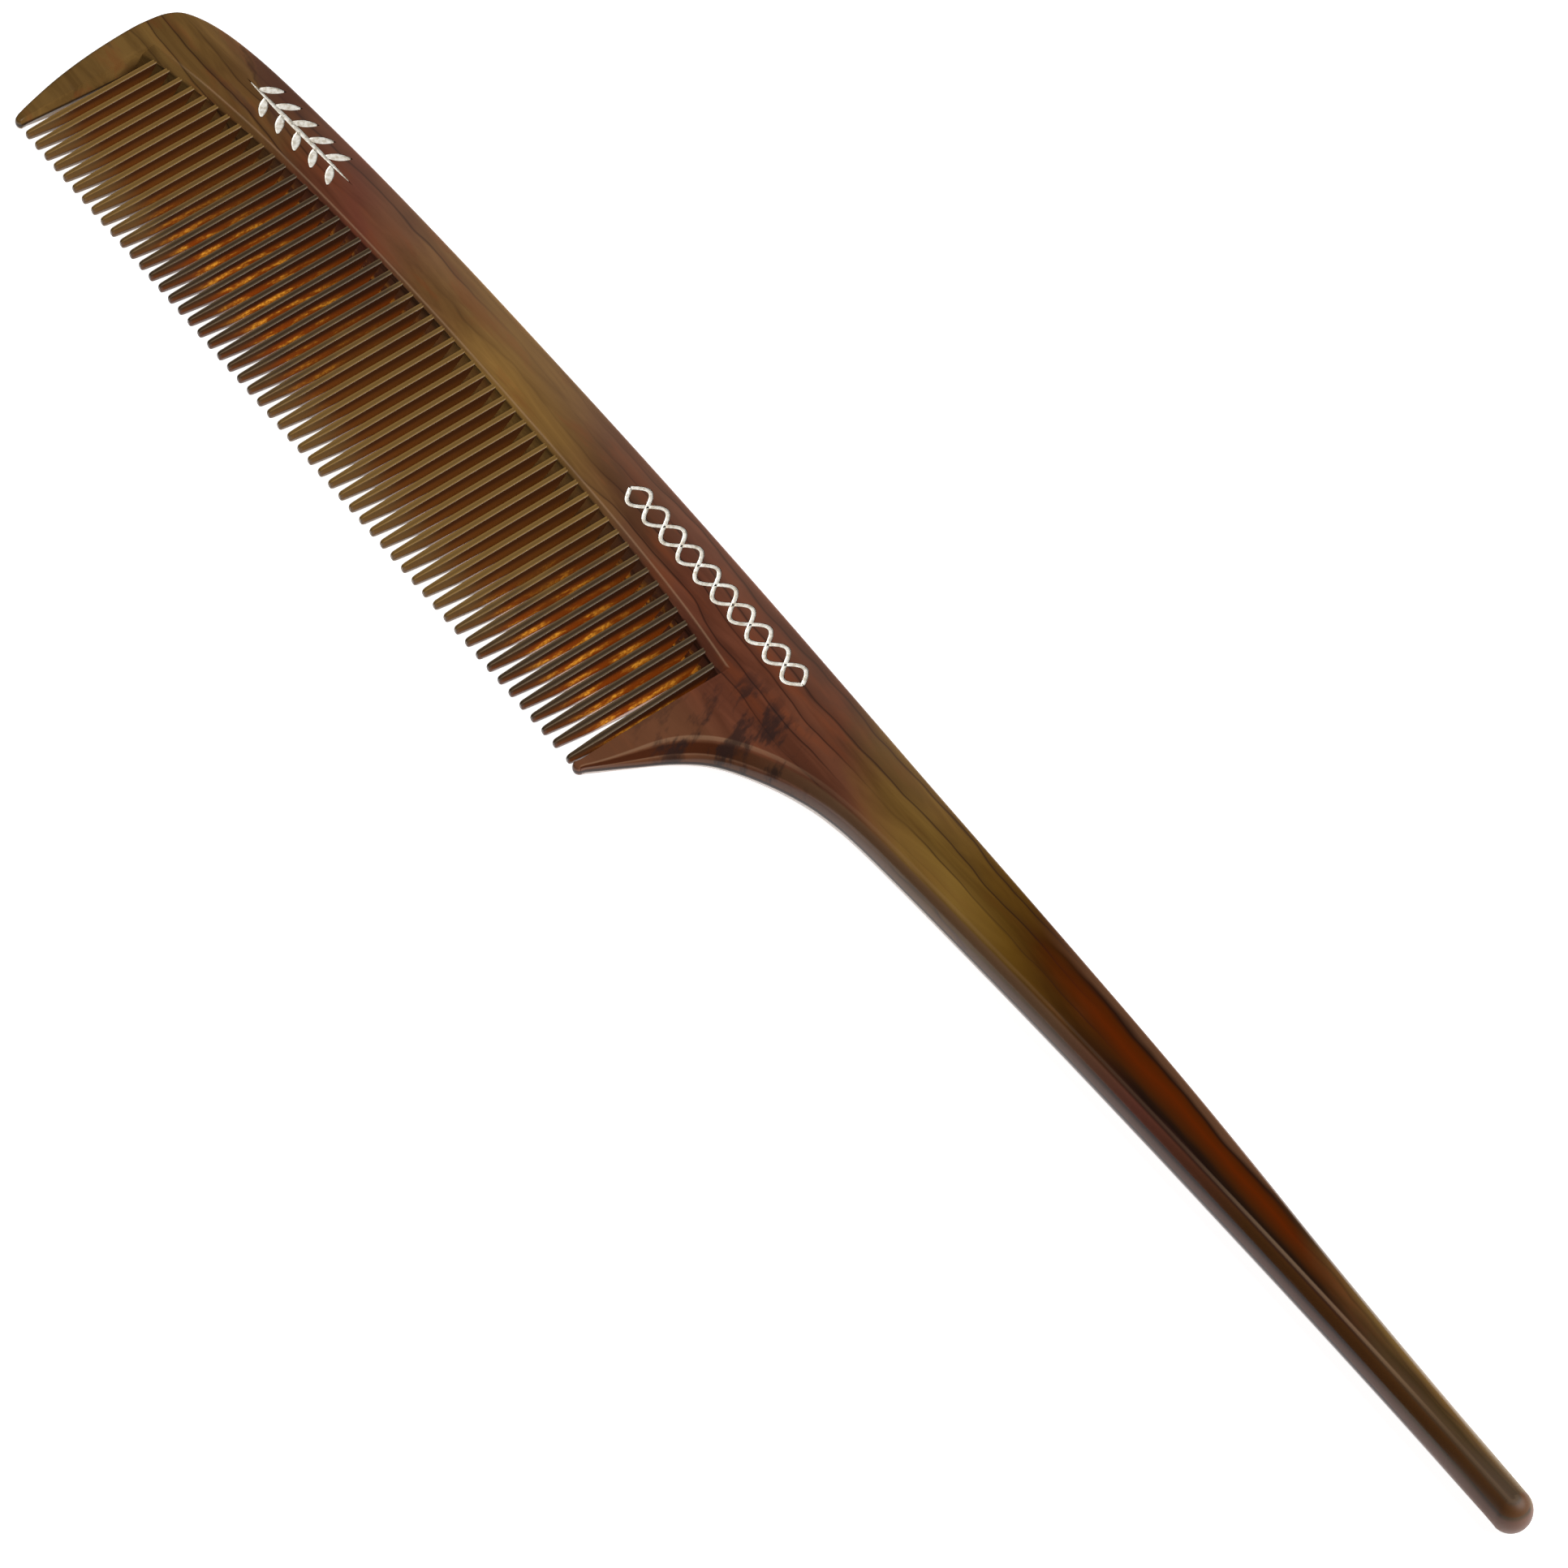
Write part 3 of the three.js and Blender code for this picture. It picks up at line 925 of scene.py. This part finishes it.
# The sheet's colours, each at its place along the comb.
SHEET_START = -12
SHEET_END = 216
SHEET_BANDS = [
    (-8, tone(112, 84, 44)), (4, tone(116, 86, 46)), (13, tone(106, 74, 42)), (22, tone(98, 58, 38)),
    (33, tone(102, 56, 42)), (41, tone(106, 70, 46)), (50, tone(130, 97, 52)), (58, tone(138, 104, 54)),
    (66, tone(124, 92, 50)), (76, tone(100, 66, 45)), (87, tone(106, 61, 44)), (99, tone(104, 59, 42)),
    (113, tone(94, 56, 39)), (122, tone(108, 79, 38)), (131, tone(114, 86, 38)), (139, tone(94, 66, 20)),
    (147, tone(66, 36, 6)), (157, tone(76, 32, 5)), (167, tone(66, 27, 6)), (178, tone(58, 32, 10)),
    (187, tone(82, 58, 32)), (198, tone(104, 80, 44)), (213, tone(90, 68, 36)),
]
RED_ZONES = ((16, 40), (77, 106))
TAIL_CORE = (149, 186)

# The tail's colours, each at its share of the way across, from the lower edge up. In the core, the lighter
# browns at the top are a painted reflection of light on the upper edge.
CORE_ACROSS = [
    (0.04, tone(46, 26, 20)), (0.13, tone(26, 13, 8)), (0.2, tone(34, 18, 8)), (0.3, tone(58, 26, 5)),
    (0.52, tone(82, 29, 1)), (0.66, tone(68, 27, 2)), (0.72, tone(34, 16, 8)), (0.8, tone(84, 56, 38)),
    (1.0, tone(92, 64, 46)),
]
END_ACROSS = [
    (0.05, tone(66, 50, 38)), (0.3, tone(40, 28, 16)), (0.45, tone(80, 58, 32)), (0.62, tone(104, 80, 42)),
    (0.9, tone(90, 68, 46)),
]

# The round lower edge's colours, each at its place along the comb.
EDGE_GLOW = [
    (106, tone(60, 25, 9)), (118, tone(104, 76, 54)), (148, tone(108, 80, 58)), (160, tone(106, 60, 48)),
    (175, tone(80, 48, 20)),
]
EDGE_WALL = [
    (104, tone(84, 52, 34)), (120, tone(98, 72, 56)), (150, tone(98, 69, 56)), (170, tone(100, 66, 53)),
]


def sheet_place(paint):
    """Where along the sheet's colour bands a point lies. The bands lean and have wandering borders."""
    slant = paint.scaled(paint.fade(paint.x, 100, 115), 1.2, 1.2)
    lean = paint.times(paint.add(paint.math("MAXIMUM", paint.y, 17.0), -20), slant)
    return paint.add(paint.add(paint.x, lean), paint.wander((0.05, 0.14, 0.14), 16))


def red_zone(paint, along):
    """1 where the sheet is red-brown and lets amber light through its thin parts."""
    first, second = (paint.between(along, low, high, 6) for low, high in RED_ZONES)
    return paint.add(first, second)


def cloudy_swirls(paint):
    """Pale clouds, redder patches, and smoke near the head, all drawn out along the comb."""
    cloud = paint.clouds((0.045, 0.4, 0.4), 4, 0.6, 0.8)
    cloud_colour = paint.ramp(cloud, [(0.36, tone(166, 156, 150)), (0.64, tone(255, 255, 252))])
    paint.colour = paint.blend(0.62, paint.colour, cloud_colour, "MULTIPLY")
    warmth = paint.fade(paint.clouds((0.11, 0.5, 0.4), 3, 0.6, offset=(5, 2, 0)), 0.5, 0.7)
    neck = paint.between(paint.x, 116, 148, 6)
    paint.lay(paint.times(warmth, paint.scaled(neck, -0.24, 0.3)), tone(118, 58, 30))
    smoke = paint.fade(paint.clouds((0.09, 0.34, 0.4), 4, 0.6, offset=(1, 8, 0)), 0.56, 0.68)
    paint.lay(paint.times(smoke, paint.fade(paint.x, 40, 10)), tone(62, 48, 40), 0.45)


def contour_lines(paint):
    """Thin dark lines drawn out along the comb, with a shade on one side. They are weaker mid-comb."""
    sway = paint.times(paint.clouds((0.025, 0.06, 0.1), 4, offset=(3, 1, 0)), 3.6)
    field = paint.scaled(paint.y, 0.5, sway)
    shade = paint.fade(paint.math("FRACT", field), 0.5, 0.0)
    line = paint.fade(paint.math("PINGPONG", field, 0.5), 0.075, 0.015)
    present = paint.fade(paint.clouds((0.03, 0.25, 0.2), offset=(9, 4, 0)), 0.32, 0.52)
    dark = paint.times(paint.scaled(shade, 0.3, paint.times(line, 0.52)), paint.fade(paint.y, 13, 17))
    dark = paint.times(dark, paint.scaled(paint.between(paint.x, 46, 74, 8), -0.75, 1.0))
    paint.lay(paint.times(dark, present), tone(34, 18, 14))


def crown_haze(paint):
    """The side away from the teeth is a little hazier, up to the neck."""
    crown = paint.times(paint.fade(paint.y, 20, 25), paint.fade(paint.x, 140, 110))
    paint.lay(crown, tone(112, 90, 78), 0.3)


def tail_colours(paint, along):
    """A deep amber core between near-black borders, with a painted reflection in lighter brown along its
    upper edge, fading to olive at the end.
    """
    foot = paint.scaled(paint.x, 0.024, 14.5)
    width = paint.scaled(paint.x, -0.055, 14.0)
    across = paint.math("DIVIDE", paint.math("SUBTRACT", paint.y, foot), width)
    across = paint.add(across, paint.wander((0.07, 0.3, 0.3), 0.3))
    paint.lay(paint.between(along, *TAIL_CORE, 7), paint.ramp(across, CORE_ACROSS))
    paint.lay(paint.fade(along, 182, 195), paint.ramp(across, END_ACROSS), 0.75)


def heel_guard_tint(paint):
    guard = paint.times(paint.fade(paint.x, 95, 100), paint.fade(paint.y, 15, 9))
    paint.lay(guard, tone(108, 72, 48), 0.55)


def head_shade(paint):
    """The crown of the head is darker above a slanting line."""
    drift = paint.wander((0.3, 0.5, 0.5), 2.2)
    slope = paint.scaled(paint.x, 0.3, paint.add(paint.y, drift))
    shade = paint.times(paint.fade(slope, 24.2, 24.9), paint.between(paint.x, 4, 16, 3))
    paint.lay(shade, tone(72, 46, 38), 0.7)
    line = paint.times(paint.between(slope, 24.3, 24.5, 0.25), paint.between(paint.x, 3, 15, 2))
    paint.lay(line, tone(40, 28, 26), 0.7)


def painted_ridge_highlights(paint):
    """Painted highlight along the sharp ridges, where they catch the light, most of all on the spine and
    near the tail's end.
    """
    ridge = paint.times(paint.attribute("ridge"), paint.fade(paint.x, -1, 8))
    along_spine = paint.scaled(paint.fade(paint.y, 13.5, 16.5), 0.08, 0.16)
    spine = paint.times(paint.fade(paint.x, 116, 106), along_spine)
    tail = paint.times(paint.between(paint.x, 172, 195, 9), 0.2)
    paint.lay(paint.times(ridge, paint.add(paint.add(spine, tail), 0.06)), tone(186, 152, 120))


def round_edge_colours(paint, band):
    """Painted light in the rounded rim, a painted highlight along the pale crest below it, and a duller
    wall.
    """
    glow = paint.ramp(paint.x, EDGE_GLOW, SHEET_START, SHEET_END)
    wall = paint.ramp(paint.x, EDGE_WALL, SHEET_START, SHEET_END)
    paint.lay(paint.between(band, 0.04, 0.36, 0.03), glow, 0.85)
    # The crest's pale colour is a painted highlight.
    crest = paint.times(paint.between(band, 0.36, 0.44, 0.04), paint.fade(paint.x, 150, 120))
    paint.lay(crest, tone(150, 120, 96), 0.2)
    paint.lay(paint.fade(band, 0.4, 0.62), wall, 0.7)


def heel_smoke(paint):
    """Smoky blotches above the heel guard, set at a slant."""
    leaning = paint.vector(
        paint.scaled(paint.x, 0.42, paint.times(paint.y, 0.24)),
        paint.scaled(paint.y, 0.16, paint.times(paint.x, -0.1)),
        paint.times(paint.z, 0.25),
    )
    blotch = paint.fade(paint.noise(leaning, 4, 0.62), 0.48, 0.62)
    height = paint.times(paint.fade(paint.y, 20, 17), paint.fade(paint.y, 4, 8))
    heel = paint.times(paint.between(paint.x, 100, 115, 4), height)
    paint.lay(paint.times(blotch, heel), tone(36, 28, 27), 0.75)


def edge_underside(paint, band):
    """Painted light from the table on the edge below mid-thickness, and painted shade in a thin dark line
    along the mould seam at mid-thickness.
    """
    # Painted light from the table.
    below = paint.times(paint.fade(paint.z, -0.1, -0.3), paint.fade(band, 0.3, 0.6))
    paint.lay(paint.times(below, paint.fade(paint.x, 150, 125)), tone(206, 196, 188), 0.7)
    # Painted shade along the mould seam.
    seam = paint.fade(paint.math("ABSOLUTE", paint.z), 0.26, 0.12)
    paint.lay(paint.times(seam, paint.fade(paint.x, 202, 194)), tone(24, 14, 12), 0.8)


def slot_ends(paint, along):
    """Painted shade at the ends of the slots, with painted amber glints for the light shining through them
    in the red zones.
    """
    bed = paint.times(paint.attribute("root"), paint.fade(paint.math("ABSOLUTE", paint.z), 1.5, 0.2))
    # Painted shade deep in the slot ends.
    paint.lay(bed, tone(52, 26, 14), 0.5)
    glints = paint.fade(paint.clouds((0.55, 1.2, 1.2), 3, 0.65), 0.46, 0.62)
    # Painted amber glints of light through the slot ends.
    paint.lay(paint.times(paint.times(bed, red_zone(paint, along)), glints), tone(236, 150, 44))


def body_material():
    paint = CombPaint("spine_acetate")
    along = sheet_place(paint)
    band = paint.attribute("edge_band")
    paint.colour = paint.ramp(along, SHEET_BANDS, SHEET_START, SHEET_END)
    cloudy_swirls(paint)
    contour_lines(paint)
    crown_haze(paint)
    tail_colours(paint, along)
    heel_guard_tint(paint)
    head_shade(paint)
    painted_ridge_highlights(paint)
    round_edge_colours(paint, band)
    heel_smoke(paint)
    edge_underside(paint, band)
    slot_ends(paint, along)
    dull_tail_end = paint.times(paint.fade(paint.x, 198, 209), 0.3)
    paint.gloss(0.16, 0.05, dull_tail_end)
    return paint.finished()


def tooth_stripe(paint, wall, red):
    """The narrow front face in the sheet's colour, with painted shade along its groove."""
    stripe = paint.blend(red, tone(128, 98, 52), tone(92, 76, 56))
    groove = paint.times(paint.fade(wall, -0.3, -0.75), paint.scaled(red, 0.4, 0.35))
    return paint.blend(groove, stripe, tone(40, 28, 20))


def tooth_wall(paint, wall, red):
    """Walls darkened by painted shade, with a painted amber glow low on them in the red zones for light
    shining through the thin teeth, streaked otherwise on each tooth.
    """
    # Painted shade on the walls, darker than the lit front face.
    dark = paint.blend(red, tone(58, 30, 12), tone(46, 22, 10))
    # Painted amber glow of light through the thin teeth.
    warm = paint.blend(red, tone(104, 58, 20), tone(136, 62, 12))
    side = paint.blend(paint.fade(wall, 0.35, 0.85), dark, warm)
    own = paint.vector(
        paint.times(paint.attribute("tone"), 40), paint.times(paint.y, 0.3), paint.times(paint.z, 1.6),
    )
    speckle = paint.fade(paint.clouds((4, 2.4, 4), 3, 0.7), 0.4, 0.62)
    streak = paint.fade(paint.noise(own, 4, 0.65), 0.44, 0.62)
    streak = paint.times(streak, paint.scaled(speckle, 0.7, 0.3))
    reach = paint.times(paint.fade(paint.y, 16, 10.5), paint.fade(paint.y, 1.5, 5))
    # Painted glints of light in streaks along the walls.
    bright = paint.times(paint.times(streak, red), paint.times(paint.fade(wall, 0.5, 0.75), reach))
    side = paint.blend(paint.times(bright, 0.9), side, tone(250, 172, 56))
    tip = paint.blend(red, tone(100, 76, 44), tone(66, 44, 26))
    return paint.blend(paint.times(paint.fade(paint.y, 6, 1.5), 0.75), side, tip)


def tooth_material():
    paint = CombPaint("tooth_acetate")
    red = red_zone(paint, sheet_place(paint))
    wall = paint.attribute("wall")
    paint.colour = tooth_stripe(paint, wall, red)
    paint.lay(paint.fade(wall, 0.02, 0.2), tooth_wall(paint, wall, red))
    # Painted shade in a thin line along the teeth's edge at mid-thickness.
    rim = paint.fade(wall, 0.95, 0.99)
    paint.lay(rim, tone(40, 24, 16), 0.6)
    # Painted light from the table on the lower half of the teeth.
    under = paint.times(paint.fade(paint.z, -0.02, -0.08), paint.fade(paint.z, -0.9, -0.3))
    paint.lay(paint.times(under, paint.fade(paint.y, 3, 6)), tone(226, 178, 146), 0.5)
    paint.gloss(0.28, 0.03)
    return paint.finished()


def foil_material():
    paint = CombPaint("hot_stamped_foil")
    paint.shader["Metallic"].default_value = 0.25
    crinkle = paint.clouds((2.2, 2.2, 2.2), 4, 0.6)
    paint.colour = paint.blend(paint.fade(crinkle, 0.35, 0.6), tone(214, 204, 186), tone(250, 246, 236))
    paint.feed(paint.shader["Roughness"], paint.scaled(crinkle, 0.3, 0.2))
    paint.bump(crinkle, 0.6, 0.08)
    return paint.finished()


# ---- pieces ----
body = finish_mesh("comb_body", build_body(), body_material())
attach(body, "root")
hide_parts("spine", "tail", "toe_guard", "heel_guard")

teeth = build_teeth(tooth_material())
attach(teeth, "root")
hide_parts(*[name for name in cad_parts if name.startswith("tooth_")])

silver = foil_material()
for name, strips in (("foil_sprig", sprig(0)), ("foil_twist", twist(0))):
    foil = finish_mesh(f"stamped_{name}", build_foil(strips), silver)
    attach(foil, "root")
    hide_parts(name)


# ---- studio: a glowing table, one round lamp and the camera ----
# The table and the lamp are in metres. The camera aims at a point of the comb, in its millimetres.
TABLE_HALF = 3.0
TABLE_COLOUR = (0.9, 0.9, 0.9, 1)
TABLE_ROUGHNESS = 0.6
TABLE_GLOW = 0.95
SURROUND_GLOW = 0.04
LAMP_AT = (0.6, 0.8, 1.0)
LAMP_SIZE = 1.4
LAMP_POWER = 38
CAMERA_AIM = (112.16, 14.433, 0)
CAMERA_DISTANCE = 513.123
CAMERA_AZIMUTH = -33.102
CAMERA_ELEVATION = 51.803
CAMERA_ROLL = -2.1
SENSOR_WIDTH = 36
FOCAL_LENGTH = 130.4
WHITE = (1, 1, 1, 1)


def build_table():
    data = bpy.data.meshes.new("floor")
    corners = [(x * TABLE_HALF, y * TABLE_HALF, 0) for x, y in ((-1, -1), (1, -1), (1, 1), (-1, 1))]
    data.from_pydata(corners, [], [(0, 1, 2, 3)])
    paint = Paint("pale_table")
    paint.feed(paint.shader["Base Color"], TABLE_COLOUR)
    paint.feed(paint.shader["Roughness"], TABLE_ROUGHNESS)
    paint.feed(paint.shader["Emission Color"], WHITE)
    paint.feed(paint.shader["Emission Strength"], TABLE_GLOW)
    data.materials.append(paint.material)
    in_scene("floor", data)


def build_surround():
    world = bpy.data.worlds.new("studio")
    world.use_nodes = True
    background = world.node_tree.nodes["Background"]
    background.inputs["Color"].default_value = WHITE
    background.inputs["Strength"].default_value = SURROUND_GLOW
    bpy.context.scene.world = world


def build_lamp():
    light = bpy.data.lights.new("key", "AREA")
    light.shape = "DISK"
    light.size = LAMP_SIZE
    light.energy = LAMP_POWER
    lamp = in_scene("key", light)
    lamp.location = LAMP_AT
    lamp.rotation_euler = (-lamp.location).to_track_quat("-Z", "Y").to_euler()


def build_camera():
    lens = bpy.data.cameras.new("camera")
    lens.sensor_width = SENSOR_WIDTH
    lens.lens = FOCAL_LENGTH
    camera = in_scene("camera", lens)
    azimuth = Matrix.Rotation(math.radians(90 + CAMERA_AZIMUTH), 4, "Z")
    elevation = Matrix.Rotation(math.radians(90 - CAMERA_ELEVATION), 4, "X")
    roll = Matrix.Rotation(math.radians(CAMERA_ROLL), 4, "Z")
    back = Matrix.Translation((0, 0, CAMERA_DISTANCE * MM))
    camera.matrix_world = Matrix.Translation(in_frame(*CAMERA_AIM)) @ azimuth @ elevation @ roll @ back
    bpy.context.scene.camera = camera


build_table()
build_surround()
build_lamp()
build_camera()
bpy.context.scene.view_settings.view_transform = "Standard"
